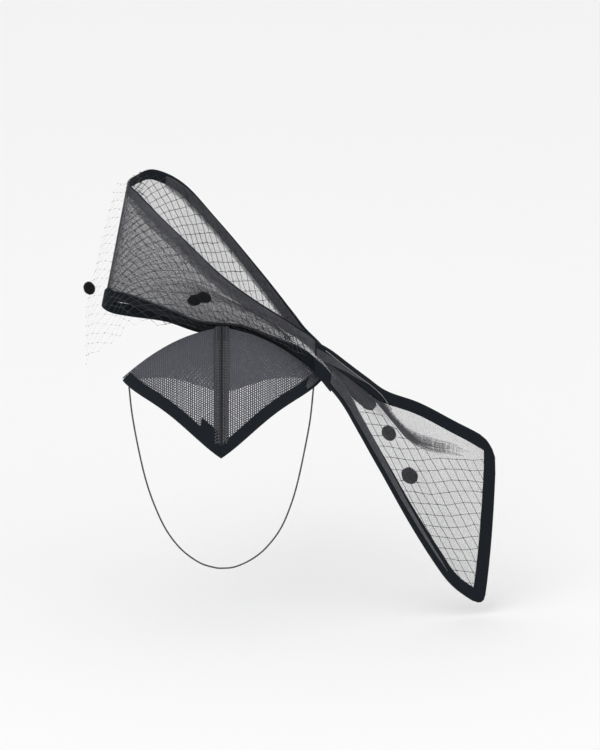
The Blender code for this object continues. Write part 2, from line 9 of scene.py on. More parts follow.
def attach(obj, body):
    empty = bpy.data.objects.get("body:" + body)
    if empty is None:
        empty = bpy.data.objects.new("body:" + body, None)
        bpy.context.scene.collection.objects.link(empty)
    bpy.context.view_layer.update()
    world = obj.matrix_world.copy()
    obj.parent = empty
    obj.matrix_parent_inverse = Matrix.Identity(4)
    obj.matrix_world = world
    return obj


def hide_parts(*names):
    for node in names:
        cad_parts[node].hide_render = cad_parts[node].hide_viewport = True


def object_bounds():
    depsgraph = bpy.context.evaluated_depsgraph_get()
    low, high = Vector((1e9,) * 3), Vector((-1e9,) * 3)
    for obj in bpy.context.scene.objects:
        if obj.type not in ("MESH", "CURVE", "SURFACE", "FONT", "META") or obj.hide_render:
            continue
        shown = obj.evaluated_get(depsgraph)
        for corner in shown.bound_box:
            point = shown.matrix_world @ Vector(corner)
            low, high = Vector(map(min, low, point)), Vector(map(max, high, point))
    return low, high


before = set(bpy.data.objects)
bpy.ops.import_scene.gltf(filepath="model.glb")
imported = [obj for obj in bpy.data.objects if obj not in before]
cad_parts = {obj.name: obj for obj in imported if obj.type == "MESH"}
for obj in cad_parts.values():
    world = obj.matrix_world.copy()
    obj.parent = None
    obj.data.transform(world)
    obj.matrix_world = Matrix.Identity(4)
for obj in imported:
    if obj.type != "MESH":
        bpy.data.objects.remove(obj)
cad_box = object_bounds()

# Camera
# The headpiece hangs as if worn, seen from the front and a little above, through a long lens.
look_at = Vector((0.0702, 0.0, -0.0426))
elevation = math.radians(18)
distance = 6.0
camera = bpy.data.objects.new("camera", bpy.data.cameras.new("camera"))
camera.data.lens = 320
camera.data.sensor_width = 36
camera.data.clip_end = 50
camera.location = look_at + distance * Vector((0, -math.cos(elevation), math.sin(elevation)))
camera.rotation_euler = (look_at - camera.location).to_track_quat("-Z", "Y").to_euler()
bpy.context.scene.collection.objects.link(camera)
bpy.context.scene.camera = camera


# Hat elastic
# A round braided elastic hangs in a long loop from the cap's two side corners, under the chin when worn.
# A fine braided cover gives its surface a slight ripple.


def spline(rows, place):
    """The row at a fractional place, on a smooth curve through the rows and a little past its ends."""
    first = min(max(int(place), 0), len(rows) - 2)
    t = place - first
    here, after = rows[first], rows[first + 1]
    before = rows[first - 1] if first else [2 * a - b for a, b in zip(here, after)]
    beyond = rows[first + 2] if first + 2 < len(rows) else [2 * b - a for a, b in zip(here, after)]
    return [
        0.5 * (2 * b + (c - a) * t + (2 * a - 5 * b + 4 * c - d) * t**2 + (3 * b - a - 3 * c + d) * t**3)
        for a, b, c, d in zip(before, here, after, beyond)
    ]


def lerp(low, high, count):
    return [low + (high - low) * i / (count - 1) for i in range(count)]


def path_length(line):
    return sum((b - a).length for a, b in zip(line, line[1:]))


def node(tree, kind, values=()):
    """A new node of a tree, with the values of some of its inputs."""
    made = tree.nodes.new(kind)
    for key, value in dict(values).items():
        made.inputs[key].default_value = value
    return made


def wire(tree, *wires):
    """Links in a tree, each given as a node, its output, the next node and its input."""
    for start, out, end, into in wires:
        tree.links.new(start.outputs[out], end.inputs[into])


def fabric(name, dark, light, roughness, speckle, sheen=0.0, specular=0.3, bump=0.0):
    """A cloth material: colour mottled between two tones, with roughness and bump from finer noise."""
    made = bpy.data.materials.new(name)
    made.use_nodes = True
    tree = made.node_tree
    shader = tree.nodes["Principled BSDF"]
    shader.inputs["Sheen Weight"].default_value = sheen
    shader.inputs["Specular IOR Level"].default_value = specular
    place = node(tree, "ShaderNodeTexCoord")
    cloud = node(tree, "ShaderNodeTexNoise", {"Scale": speckle, "Detail": 6.0})
    tone = node(tree, "ShaderNodeValToRGB")
    for stop, where, colour in zip(tone.color_ramp.elements, (0.3, 0.7), (dark, light)):
        stop.position = where
        stop.color = (*colour, 1.0)
    spread = 0.08
    grain_scale, grain_depth = 1500.0, 0.0003
    worn_range = {"To Min": roughness - spread, "To Max": min(roughness + spread, 1.0)}
    worn = node(tree, "ShaderNodeMapRange", worn_range)
    wire(
        tree,
        (place, "Object", cloud, "Vector"),
        (cloud, "Fac", tone, "Fac"),
        (tone, "Color", shader, "Base Color"),
        (cloud, "Fac", worn, "Value"),
        (worn, "Result", shader, "Roughness"),
    )
    if bump:
        grain = node(tree, "ShaderNodeTexNoise", {"Scale": grain_scale, "Detail": 3.0})
        relief = node(tree, "ShaderNodeBump", {"Strength": bump, "Distance": grain_depth})
        wire(
            tree,
            (place, "Object", grain, "Vector"),
            (grain, "Fac", relief, "Height"),
            (relief, "Normal", shader, "Normal"),
        )
    return made


elastic_diameter = 0.0015
elastic_reach = 0.083
elastic_top = -0.052
elastic_drop = 0.173
elastic_depth = -0.006
elastic_route = (
    (-1.007, 0.0),
    (-0.976, 0.15),
    (-0.912, 0.335),
    (-0.833, 0.51),
    (-0.737, 0.655),
    (-0.611, 0.79),
    (-0.451, 0.895),
    (-0.26, 0.967),
    (-0.10, 0.995),
    (0.0, 1.0),
    (0.137, 0.992),
    (0.312, 0.952),
    (0.472, 0.888),
    (0.631, 0.783),
    (0.742, 0.655),
    (0.822, 0.519),
    (0.90, 0.335),
    (0.957, 0.175),
    (0.993, 0.0),
)
elastic_line = [
    Vector((across * elastic_reach, elastic_depth, elastic_top - drop * elastic_drop))
    for across, drop in (spline(elastic_route, place) for place in lerp(0.0, len(elastic_route) - 1.0, 160))
]


def tube(name, line, radius, finish, sides=12, ripple=0.0, ripple_length=0.002):
    """A mesh tube along a line of points, with closed ends and, for a braid, a slight ripple."""
    shape = bmesh.new()
    rings = []
    side = Vector((0, 1, 0))
    length = 0.0
    for i, point in enumerate(line):
        ahead, behind = line[min(i + 1, len(line) - 1)], line[max(i - 1, 0)]
        along = (ahead - behind).normalized()
        side = (side - along * side.dot(along)).normalized()
        up = along.cross(side)
        length += (point - behind).length
        ring = []
        for k in range(sides):
            angle = math.tau * k / sides
            swell = 1 + ripple * math.sin(math.tau * length / ripple_length + 2 * angle)
            around = side * math.cos(angle) + up * math.sin(angle)
            ring.append(shape.verts.new(point + around * radius * swell))
        rings.append(ring)
    for low, high in zip(rings, rings[1:]):
        for k in range(sides):
            shape.faces.new((low[k], low[(k + 1) % sides], high[(k + 1) % sides], high[k]))
    shape.faces.new(rings[0][::-1])
    shape.faces.new(rings[-1])
    bmesh.ops.recalc_face_normals(shape, faces=shape.faces)
    return piece(name, shape, finish)


def piece(name, shape, finish):
    """An object from a bmesh, shaded smooth, with its material."""
    mesh = bpy.data.meshes.new(name)
    shape.to_mesh(mesh)
    shape.free()
    mesh.materials.append(finish)
    mesh.shade_smooth()
    mesh.set_sharp_from_angle(angle=math.radians(50))
    made = bpy.data.objects.new(name, mesh)
    bpy.context.scene.collection.objects.link(made)
    return made


elastic_cover = fabric("elastic_cover", (0.055, 0.048, 0.050), (0.085, 0.076, 0.078), 0.65, 900, bump=0.6)
elastic = tube("elastic_cord", elastic_line, elastic_diameter / 2, elastic_cover, ripple=0.03)
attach(elastic, "root")
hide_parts("hat_elastic")

# Cap net
# Two panels of stiff square net are seamed down the middle into a shallow, pointed crown. The net is sheer
# where one layer shows against the light, and dark where the front and back lie behind each other.
cap_width = 0.179
cap_length = 0.170
side_drop = 0.043
front_drop = 0.089
back_drop = 0.085
rim_wave = 0.003
rim_power = 1.12
crown_power = 1.8
cap_wall = 0.001
net_pitch = 0.0020
net_thread = 0.00112
net_step = 0.004
net_unevenness = 0.06
nearby = 0.0005
seam_gap = 0.0008


def cap_surface(turn, reach):
    """A point of the cap: turn is -1 at the left corner, 0 at the front point, 1 at the right corner and 2 or
    -2 at the back point, and reach runs from the crown, 0, to the rim, 1."""
    toward_end = 1 - abs(turn) if abs(turn) <= 1 else abs(turn) - 1
    toward_side = 1 - toward_end
    rounded = (toward_side**rim_power + toward_end**rim_power) ** (1 / rim_power)
    x = math.copysign(cap_width / 2 * reach * toward_side / rounded, turn)
    y = cap_length / 2 * reach * toward_end / rounded
    end_drop = front_drop if abs(turn) <= 1 else back_drop
    wave = rim_wave * math.sin(math.tau * (toward_end - 0.25))
    drop = side_drop + (end_drop - side_drop) * toward_end - wave
    z = cap_wall / 2 - drop * reach**crown_power
    return Vector((x, -y if abs(turn) <= 1 else y, z))


def cap_top(x, y):
    """A point of the cap over a point of its plan."""
    side, end = abs(x) / (cap_width / 2), abs(y) / (cap_length / 2)
    reach = (side**rim_power + end**rim_power) ** (1 / rim_power)
    if reach < 1e-6:
        return cap_surface(0.0, 0.0)
    turn = side / (side + end)
    turn = turn if y < 0 else 2 - turn
    return cap_surface(math.copysign(turn, x), reach)


def start_tree(name, taken, made, **inputs):
    """A Geometry Nodes tree from one geometry to another, and its two end nodes. It has inputs of these names
    and kinds, and a material."""
    tree = bpy.data.node_groups.new(name, "GeometryNodeTree")
    for key, kind in {taken: "Geometry", **inputs, "Material": "Material"}.items():
        tree.interface.new_socket(key, in_out="INPUT", socket_type="NodeSocket" + kind)
    tree.interface.new_socket(made, in_out="OUTPUT", socket_type="NodeSocketGeometry")
    return tree, node(tree, "NodeGroupInput"), node(tree, "NodeGroupOutput")


def finish_tree(tree, given, made, last, out):
    """Ends a tree: what the last node gives is made real, shaded smooth and given the material."""
    real = node(tree, "GeometryNodeRealizeInstances")
    smooth = node(tree, "GeometryNodeSetShadeSmooth")
    finish = node(tree, "GeometryNodeSetMaterial")
    wire(
        tree,
        (last, out, real, "Geometry"),
        (real, "Geometry", smooth, "Geometry"),
        (smooth, "Geometry", finish, "Geometry"),
        (given, "Material", finish, "Material"),
        (finish, "Geometry", made, 0),
    )
    return tree


def thread_tree():
    """Geometry Nodes that turn a mesh of edges into threads of a named radius, flatness and side count."""
    sizes = {"Radius": "Float", "Flatness": "Float", "Sides": "Int"}
    tree, given, made = start_tree("threads", "Lines", "Threads", **sizes)
    curves = node(tree, "GeometryNodeMeshToCurve")
    ring = node(tree, "GeometryNodeCurvePrimitiveCircle")
    squeeze = node(tree, "GeometryNodeTransform")
    scale = node(tree, "ShaderNodeCombineXYZ", {"X": 1.0, "Z": 1.0})
    sweep = node(tree, "GeometryNodeCurveToMesh", {"Fill Caps": True})
    wire(
        tree,
        (given, "Lines", curves, "Mesh"),
        (given, "Radius", ring, "Radius"),
        (given, "Sides", ring, "Resolution"),
        (given, "Flatness", scale, "Y"),
        (ring, "Curve", squeeze, "Geometry"),
        (scale, "Vector", squeeze, "Scale"),
        (curves, "Curve", sweep, "Curve"),
        (squeeze, "Geometry", sweep, "Profile Curve"),
    )
    return finish_tree(tree, given, made, sweep, "Mesh")


thread_nodes = thread_tree()


def apply_nodes(name, shape, tree, values):
    """A finished object: the bmesh run through a node tree whose named inputs take these values."""
    mesh = bpy.data.meshes.new(name + "_lines")
    shape.to_mesh(mesh)
    shape.free()
    guide = bpy.data.objects.new(name + "_lines", mesh)
    bpy.context.scene.collection.objects.link(guide)
    maker = guide.modifiers.new("Maker", "NODES")
    maker.node_group = tree
    sockets = {item.name: item.identifier for item in tree.interface.items_tree if item.in_out == "INPUT"}
    for key, value in values.items():
        maker[sockets[key]] = value
    done = bpy.data.meshes.new_from_object(guide.evaluated_get(bpy.context.evaluated_depsgraph_get()))
    bpy.data.objects.remove(guide, do_unlink=True)
    done.name = name
    made = bpy.data.objects.new(name, done)
    bpy.context.scene.collection.objects.link(made)
    return made


def line_edges(lines):
    """A bmesh of edges along lines of points."""
    shape = bmesh.new()
    for line in lines:
        spots = [shape.verts.new(point) for point in line]
        for low, high in zip(spots, spots[1:]):
            shape.edges.new((low, high))
    return shape


def threads(name, lines, thickness, finish, sides=3, flatness=1.0):
    """Threads along lines of points. A thread of few sides is made a little thicker to look as wide."""
    seen = {3: 0.826, 4: 0.90}.get(sides, 1.0)
    values = {"Radius": thickness / 2 / seen, "Flatness": flatness, "Sides": sides, "Material": finish}
    return apply_nodes(name, line_edges(lines), thread_nodes, values)


def rim_y(x):
    side = abs(x) / (cap_width / 2)
    return cap_length / 2 * max(1 - side**rim_power, 0.0) ** (1 / rim_power)


def rim_x(y):
    end = abs(y) / (cap_length / 2)
    return cap_width / 2 * max(1 - end**rim_power, 0.0) ** (1 / rim_power)


def even_steps(low, high, step):
    return lerp(low, high, max(int((high - low) / step), 1) + 1)


cap_net = fabric("cap_net_thread", (0.080, 0.082, 0.097), (0.108, 0.110, 0.130), 0.6, 300)
random.seed(7)
for side, name in ((-1, "left"), (1, "right")):
    lines = []
    x = seam_gap / 2
    while x < cap_width / 2 - net_pitch:
        y = rim_y(x)
        place = side * (x + random.uniform(-net_unevenness, net_unevenness) * net_pitch)
        lines.append([cap_top(place, along) for along in even_steps(-y, y, net_step)])
        x += net_pitch * nearby / (cap_top(x + nearby, 0.0) - cap_top(x, 0.0)).length
    y = -cap_length / 2 + net_pitch
    while y < cap_length / 2 - net_pitch:
        y += net_pitch * nearby / (cap_top(0.0, y + nearby) - cap_top(0.0, y)).length
        place = y + random.uniform(-net_unevenness, net_unevenness) * net_pitch
        ends = sorted((side * seam_gap / 2, side * rim_x(place)))
        if ends[1] - ends[0] > net_pitch:
            lines.append([cap_top(along, place) for along in even_steps(*ends, net_step)])
    panel = threads(f"cap_net_{name}", lines, net_thread, cap_net, sides=4, flatness=0.75)
    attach(panel, "root")
    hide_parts(f"cap_panel_{name}")
    for y in lerp(-cap_length / 2, cap_length / 2, 60):
        for x in lerp(0.0, cap_width / 2, 40):
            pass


def polygons(name, rings, finish, closed=True):
    """A closed solid through rings of points, or, when open, a sheet through rows of them."""
    shape = bmesh.new()
    loops = [[shape.verts.new(point) for point in ring] for ring in rings]
    for low, high in zip(loops, loops[1:]):
        for i in range(len(low) if closed else len(low) - 1):
            j = (i + 1) % len(low)
            shape.faces.new((low[i], low[j], high[j], high[i]))
    if closed:
        shape.faces.new(loops[0][::-1])
        shape.faces.new(loops[-1])
    bmesh.ops.remove_doubles(shape, verts=shape.verts, dist=1e-6)
    bmesh.ops.recalc_face_normals(shape, faces=shape.faces)
    return piece(name, shape, finish)


def slopes(surface, place, share):
    step = 0.002
    along = surface(place + step, share) - surface(place - step, share)
    up = surface(place, share + step) - surface(place, share - step)
    return along / (2 * step), up / (2 * step)


def normal(surface, place, share):
    along, up = slopes(surface, place, share)
    return along.cross(up).normalized()


def stitch_tree():
    """Geometry Nodes that lay small stitches along lines, with a named spacing, length and radius."""
    sizes = {"Spacing": "Float", "Stitch": "Float", "Radius": "Float"}
    tree, given, made = start_tree("stitches", "Lines", "Stitches", **sizes)
    curves = node(tree, "GeometryNodeMeshToCurve")
    spots = node(tree, "GeometryNodeCurveToPoints")
    spots.mode = "LENGTH"
    rod = node(tree, "GeometryNodeMeshCylinder", {"Vertices": 6})
    align = node(tree, "FunctionNodeAlignEulerToVector")
    align.axis = "Z"
    put = node(tree, "GeometryNodeInstanceOnPoints")
    wire(
        tree,
        (given, "Lines", curves, "Mesh"),
        (curves, "Curve", spots, "Curve"),
        (given, "Spacing", spots, "Length"),
        (given, "Stitch", rod, "Depth"),
        (given, "Radius", rod, "Radius"),
        (spots, "Tangent", align, "Vector"),
        (spots, "Points", put, "Points"),
        (rod, "Mesh", put, "Instance"),
        (align, "Rotation", put, "Rotation"),
    )
    return finish_tree(tree, given, made, put, "Instances")


stitch_nodes = stitch_tree()


def stitches(name, lines, finish, spacing, stitch, radius):
    values = {"Spacing": spacing, "Stitch": stitch, "Radius": radius, "Material": finish}
    return apply_nodes(name, line_edges(lines), stitch_nodes, values)


# Seam tape
# A strip of the same net is folded double over the seam from front to back. It is held by a row of stitches
# near each edge, by shorter rows at the front, and by the seam itself, a dark ridge down the middle.
tape_width = 0.012
tape_near = 0.0009
tape_front_reach = 0.95
tape_back_reach = 0.98
tape_pitch = 0.0021
tape_thread = 0.00115


def tape_point(along, across, height):
    """A point of the tape: along from -1 at the front to 1 at the back, and across in metres."""
    reach = tape_front_reach if along < 0 else tape_back_reach
    side = abs(across) / (cap_width / 2)
    y = along * cap_length / 2 * (reach**rim_power - side**rim_power) ** (1 / rim_power)
    nearby = 0.002
    slope_x = cap_top(across + nearby, y) - cap_top(across - nearby, y)
    slope_y = cap_top(across, y + nearby) - cap_top(across, y - nearby)
    return cap_top(across, y) + slope_x.cross(slope_y).normalized() * height


tape_length = 0.21
lines = []
for height, shift in ((tape_near + 0.0002, 0.0), (tape_near + 0.0007, 0.5)):
    for k in range(int(tape_width / tape_pitch) + 1):
        across = -tape_width / 2 + (k + shift) * tape_pitch
        if across <= tape_width / 2:
            lines.append([tape_point(along, across, height) for along in lerp(-1.0, 1.0, 50)])
    for k in range(int(tape_length / tape_pitch)):
        along = -1.0 + 2 * (k + shift) * tape_pitch / tape_length
        width = lerp(-tape_width / 2, tape_width / 2, 4)
        lines.append([tape_point(along, across, height) for across in width])
tape_net = fabric("tape_net_thread", (0.040, 0.042, 0.049), (0.062, 0.064, 0.073), 0.6, 500)
tape = threads("seam_tape_net", lines, tape_thread, tape_net, sides=4, flatness=0.5)
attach(tape, "root")
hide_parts("cap_seam_tape")
seam_thread = fabric("seam_thread", (0.008, 0.009, 0.012), (0.014, 0.015, 0.019), 0.8, 500)
stitch_grey = fabric("stitch_grey", (0.16, 0.16, 0.17), (0.30, 0.30, 0.31), 0.45, 500)
stitch_height = tape_near + 0.0013
rows = []
for across in (-0.0042, 0.0042):
    rows.append([tape_point(along, across, stitch_height) for along in lerp(-1.0, 1.0, 60)])
for k, across in enumerate((-0.0031, -0.0019, 0.0016, 0.0029, 0.0050)):
    start = -0.99 + 0.006 * k
    rows.append([tape_point(along, across, stitch_height) for along in lerp(start, -0.25, 60)])
seam_stitches = stitches("seam_stitches", rows, stitch_grey, spacing=0.0027, stitch=0.0011, radius=0.00019)
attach(seam_stitches, "root")
ridge_line = [tape_point(along, 0.0, tape_near + 0.0012) for along in lerp(-1.0, 1.0, 80)]
seam_ridge = tube("seam_ridge", ridge_line, 0.0006, seam_thread, sides=6, ripple=0.1)
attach(seam_ridge, "root")

# Velvet ribbon
# The cap's two front edges and the free edges of the bow are finished with one 9.5 mm velvet ribbon, folded
# over the cut edge or laid flat beside it and sewn down. Its pile is nearly black, with a bluish bloom where
# it is seen along the surface.
ribbon_width = 0.0095
ribbon_thickness = 0.001
clearance = 0.0004
pile_dark, pile_light = (0.0055, 0.0075, 0.0105), (0.010, 0.0135, 0.018)
velvet = fabric("velvet_pile", pile_dark, pile_light, 0.9, 700, sheen=0.06, specular=0.12, bump=0.8)


def fold_profile(wall):
    """The closed outline of a ribbon folded over an edge: how far in from the edge, and off the middle."""
    inner = wall / 2 + clearance
    outer = inner + ribbon_thickness
    tip = clearance + ribbon_thickness
    cover = [(ribbon_width, outer - 0.0005), (ribbon_width - 0.0003, outer - 0.00015)]
    cover += [(ribbon_width * share, outer) for share in (0.93, 0.7, 0.45, 0.2)]
    for k in range(0, 9):
        angle = math.pi * k / 8
        cover.append((-tip * math.sin(angle), outer * math.cos(angle)))
    cover += [(inward, -height) for inward, height in cover[5:1:-1]]
    cover += [(ribbon_width - 0.0003, -outer + 0.00015), (ribbon_width, -outer + 0.0005)]
    lining = [(ribbon_width, -inner), (0.0, -inner), (-clearance, 0.0), (0.0, inner), (ribbon_width, inner)]
    return cover + lining


def flat_profile(near):
    """The closed outline of a ribbon that lies flat on one side of a sheet."""
    far = near + math.copysign(ribbon_thickness, near)
    edge = (far - near) * 0.4
    top = [(0.0, far - edge), (0.0003, far - edge * 0.3)]
    top += [(ribbon_width * share, far) for share in (0.07, 0.3, 0.5, 0.7, 0.93)]
    top += [(ribbon_width - 0.0003, far - edge * 0.3), (ribbon_width, far - edge)]
    return top + [(ribbon_width, near), (ribbon_width / 2, near), (0.0, near)]


def band(name, surface, stations, profile, finish=velvet):
    """A ribbon along stations of (edge spot, inner spot), with the profile's outline at each of them."""
    rings = []
    for outer, inner in stations:
        face = {}
        ring = []
        for inward, height in profile:
            spot = outer + (inner - outer) * (inward / ribbon_width)
            key = round(inward, 6)
            if key not in face:
                face[key] = normal(surface, *spot)
            ring.append(surface(*spot) + face[key] * height)
        rings.append(ring)
    made = polygons(name, rings, finish)
    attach(made, "root")
    return made


def ribbon_inset(surface, place, share):
    """How far a ribbon's width reaches in from an edge: in places along and in shares up."""
    along, up = slopes(surface, place, share)
    sine = math.sin(along.angle(up))
    return ribbon_width / (along.length * sine), ribbon_width / (up.length * sine)


# Cap binding
# The ribbon runs along both front edges, mitred at the front point. Its square-cut end is laid on the outer
# face of the net, just left of the point.
front_turns = [-0.97, *lerp(-0.93, -0.07, 40), -0.03, 0.0, 0.03, *lerp(0.07, 0.93, 40), 0.97]
stations = []
for turn in front_turns:
    beside = max(abs(turn), 0.03)
    inset = ribbon_inset(cap_surface, beside, 1.0)[1]
    stations.append((Vector((turn, 1.0)), Vector((turn, 1 - inset))))
cap_binding = band("cap_binding_ribbon", cap_surface, stations, fold_profile(cap_wall))
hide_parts("cap_binding")
end_reach = 0.945
stations = []
for turn in lerp(-0.03, -0.2, 8):
    inset = ribbon_inset(cap_surface, turn, end_reach)[1]
    stations.append((Vector((turn, end_reach)), Vector((turn, end_reach - inset))))
cap_end = band("cap_binding_cut_end", cap_surface, stations, flat_profile(-cap_wall / 2 - clearance))
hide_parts("cap_binding_end")

# Bow loop
# The left wing is one strip of sheer mesh, doubled back on itself at a soft fold and gathered at the pinch.
# The ribbon lies flat inside its top edge, where the mesh is turned over it as a hem, and is folded over its
# bottom edge. A soft pleat runs out from the pinch across the front.
pinch = Vector((0.090, -0.004, -0.040))
mesh_wall = 0.001
loop_reach = 0.200
loop_depth = 0.080
loop_height = 0.150
roll_width = 0.022
loop_columns = ("low_along", "low_depth", "low_rise", "top_along", "top_depth", "top_rise", "bulge", "roll")
loop_rows = (
    (-0.04, -0.025, -0.099, -0.06, -0.06, 0.083, 0.0, 0),
    (0.03, 0.025, 0.011, 0.03, -0.05, 0.22, 0.0, 0),
    (0.11, 0.10, 0.104, 0.105, -0.05, 0.293, 0.01, 0),
    (0.21, 0.225, 0.148, 0.20, -0.03, 0.372, 0.02, 0),
    (0.37, 0.40, 0.203, 0.325, 0.0, 0.479, 0.04, 0),
    (0.55, 0.463, 0.214, 0.46, -0.04, 0.632, 0.06, 0),
    (0.705, 0.438, 0.297, 0.595, -0.05, 0.817, 0.08, 0),
    (0.865, 0.40, 0.381, 0.73, -0.04, 0.998, 0.08, 0),
    (0.95, 0.35, 0.403, 0.82, 0.05, 1.114, 0.04, 0),
    (0.985, 0.463, 0.35, 0.87, 0.225, 1.155, 0.0, 0),
    (0.95, 0.575, 0.295, 0.835, 0.475, 1.168, 0.04, 0),
    (0.865, 0.60, 0.267, 0.75, 0.65, 1.172, 0.08, 10),
    (0.705, 0.625, 0.23, 0.613, 0.775, 1.057, 0.08, 35),
    (0.55, 0.625, 0.16, 0.462, 0.80, 0.825, 0.06, 55),
    (0.37, 0.55, 0.138, 0.288, 0.70, 0.547, 0.04, 50),
    (0.21, 0.40, 0.087, 0.149, 0.525, 0.328, 0.02, 35),
    (0.11, 0.263, 0.048, 0.081, 0.36, 0.234, 0.0, 15),
    (0.03, 0.15, -0.018, 0.017, 0.22, 0.171, 0.0, 5),
    (-0.04, 0.09, -0.116, -0.07, 0.125, 0.057, 0.0, 0),
)
loop_last = len(loop_rows) - 1
tail_step_softness = 0.009


def smooth_step(share):
    share = min(max(share, 0.0), 1.0)
    return share * share * (3 - 2 * share)


def across(low, top, tangent, share, bulge, top_roll, low_roll, step, step_place):
    """A point of a strip's cross-section from its low edge, share 0, to its top edge, share 1."""
    width = (top - low).length
    up = (top - low) / width
    out = up.cross(tangent).normalized()
    rise, push = share * width, bulge * 4 * share * (1 - share)
    part = min(roll_width / width, 0.5)
    for angle, inner, sign in ((top_roll, share - (1 - part), 1), (low_roll, part - share, -1)):
        if angle > 0.01 and inner > 0:
            turn, length = angle * inner / part, part * width
            rise += sign * (length * math.sin(turn) / angle - inner * width)
            push += length * (1 - math.cos(turn)) / angle
    if step:
        push += step * smooth_step(0.5 + (share - step_place) * width / (2 * tail_step_softness))
    return low + up * rise + out * push


def strip_row(columns, rows, scale, place):
    """A strip's low and top edge at a place, in columns after low_ and top_ times the scale, and its row."""
    row = dict(zip(columns, spline(rows, place)))
    offsets = ([row[f"{edge}_{part}"] * size for part, size in scale.items()] for edge in ("low", "top"))
    low, top = (pinch + Vector(offset) for offset in offsets)
    return low, top, row


def strip_tangent(row_at, place):
    ahead, behind = (row_at(place + sign * 0.05) for sign in (1, -1))
    return ahead[0] + ahead[1] - behind[0] - behind[1]


def loop_row(place):
    scale = {"along": -loop_reach, "depth": loop_depth, "rise": loop_height}
    return strip_row(loop_columns, loop_rows, scale, place)


def loop_surface(place, share):
    """A point of the loop's strip; place runs from 0 to the last row."""
    low, top, row = loop_row(place)
    tangent = strip_tangent(loop_row, place)
    roll = math.radians(max(row["roll"], 0.0))
    return across(low, top, tangent, share, row["bulge"] * loop_depth, roll, 0.0, 0.0, 0.0)


mesh_pitch = 0.0011
front_pitch = 0.00056
mesh_thread_width = 0.00019
mesh_step = 0.006
bow_mesh = fabric("bow_mesh_thread", (0.088, 0.089, 0.101), (0.125, 0.127, 0.142), 0.6, 300)


def measured(surface, places, share):
    """Lengths along a line of the surface at each of the places."""
    lengths = [0.0]
    points = [surface(place, share) for place in places]
    for low, high in zip(points, points[1:]):
        lengths.append(lengths[-1] + (high - low).length)
    return lengths


def even_places(surface, first, last, share, step):
    """Places from first to last that lie a step apart along the surface."""
    places = lerp(first, last, 400)
    lengths = measured(surface, places, share)
    found, part = [], 0
    for k in range(int(lengths[-1] / step) + 1):
        while part < len(lengths) - 2 and lengths[part + 1] < k * step:
            part += 1
        share_of_part = (k * step - lengths[part]) / (lengths[part + 1] - lengths[part])
        found.append(places[part] + (places[part + 1] - places[part]) * share_of_part)
    return found


def grain_lines(surface, first, last, end=None, pitch=mesh_pitch):
    """Threads of a sheer mesh. Those along the strip keep their distance from its top edge, and run out at
    the low one where the strip narrows; the others cross it."""
    lines = []
    for place in even_places(surface, first, last, 0.5, pitch):
        width = (surface(place, 1.0) - surface(place, 0.0)).length
        shares = lerp(0.0, 1.0, max(int(width / mesh_step), 2) + 1)
        run = [share for share in shares if not end or place <= end(share)]
        if len(run) > 1:
            jitter = random.uniform(-0.05, 0.05) * pitch / 0.02
            lines.append([surface(min(max(place + jitter, first), last), share) for share in run])
    stops = even_places(surface, first, last, 0.5, mesh_step)
    widths = [(surface(place, 1.0) - surface(place, 0.0)).length for place in stops]
    for k in range(1, int(max(widths) / pitch)):
        run = []
        for place, width in zip(stops, widths):
            share = 1 - k * pitch / width
            if share > 0 and (not end or place <= end(share)):
                run.append(surface(place, share))
            else:
                lines.append(run)
                run = []
        lines.append(run)
    return [line for line in lines if len(line) > 1]


def strip_area(surface, first, last):
    """The area and the middle length of a strip."""
    area = 0.0
    places, shares = lerp(first, last, 80), lerp(0.0, 1.0, 10)
    grid = [[surface(place, share) for share in shares] for place in places]
    for low, high in zip(grid, grid[1:]):
        for a, b, c in zip(low, low[1:], high):
            area += (b - a).cross(c - a).length
    return area, measured(surface, places, 0.5)[-1]


def seen_spot(surface, x, rise, start, last):
    """The place and share of a strip seen at a distance right of and above the origin."""
    place, share = start
    for _ in range(14):
        point = surface(place, share)
        along, up = slopes(surface, place, share)
        a, b, c, d = along.x, up.x, along.dot(up_view), up.dot(up_view)
        turn = a * d - b * c
        miss_x, miss_rise = x - point.x, rise - point.dot(up_view)
        place += max(min((d * miss_x - b * miss_rise) / turn, 0.5), -0.5)
        share += max(min((a * miss_rise - c * miss_x) / turn, 0.2), -0.2)
        place, share = min(max(place, 0.3), last + 0.5), min(max(share, -0.1), 1.1)
    return place, share


def seen_route(surface, route, start, last):
    """The spots of a strip seen along a route, each with the half width that the route may give."""
    spots = []
    for x, rise, *half_width in route:
        start = seen_spot(surface, x, rise, start, last)
        spots.append((*start, *half_width))
    return spots


def pleat_lines(surface, route, off, fade, pitch=0.00036):
    """Close threads of a soft pleat along a route of spots, thinning out at its sides and past a share."""

    def at(along, across):
        place, share, half_width = spline(route, along * (len(route) - 1))
        width = (surface(place, 1.0) - surface(place, 0.0)).length
        share = min(max(share + across * half_width / width, 0.01), 0.99)
        return surface(place, share) + normal(surface, place, share) * off * (1.3 - across * across)

    middle = [at(along, 0.0) for along in lerp(0.0, 1.0, 60)]
    count = int(path_length(middle) / pitch)
    lines = []
    for k in range(count):
        if random.random() > 0.9 * smooth_step((k / count - fade) / (1 - fade)):
            reach = lerp(-random.uniform(0.55, 1.0), random.uniform(0.55, 1.0), 5)
            lines.append([at(k / count, across) for across in reach])
    rows = int(0.012 / pitch)
    for k in range(rows):
        side = 2 * k / (rows - 1) - 1
        end = 1 - random.uniform(0, 1 - fade)
        lines.append([at(along, side * (0.5 + 0.5 * abs(side))) for along in lerp(0.0, end, 40)])
    return lines


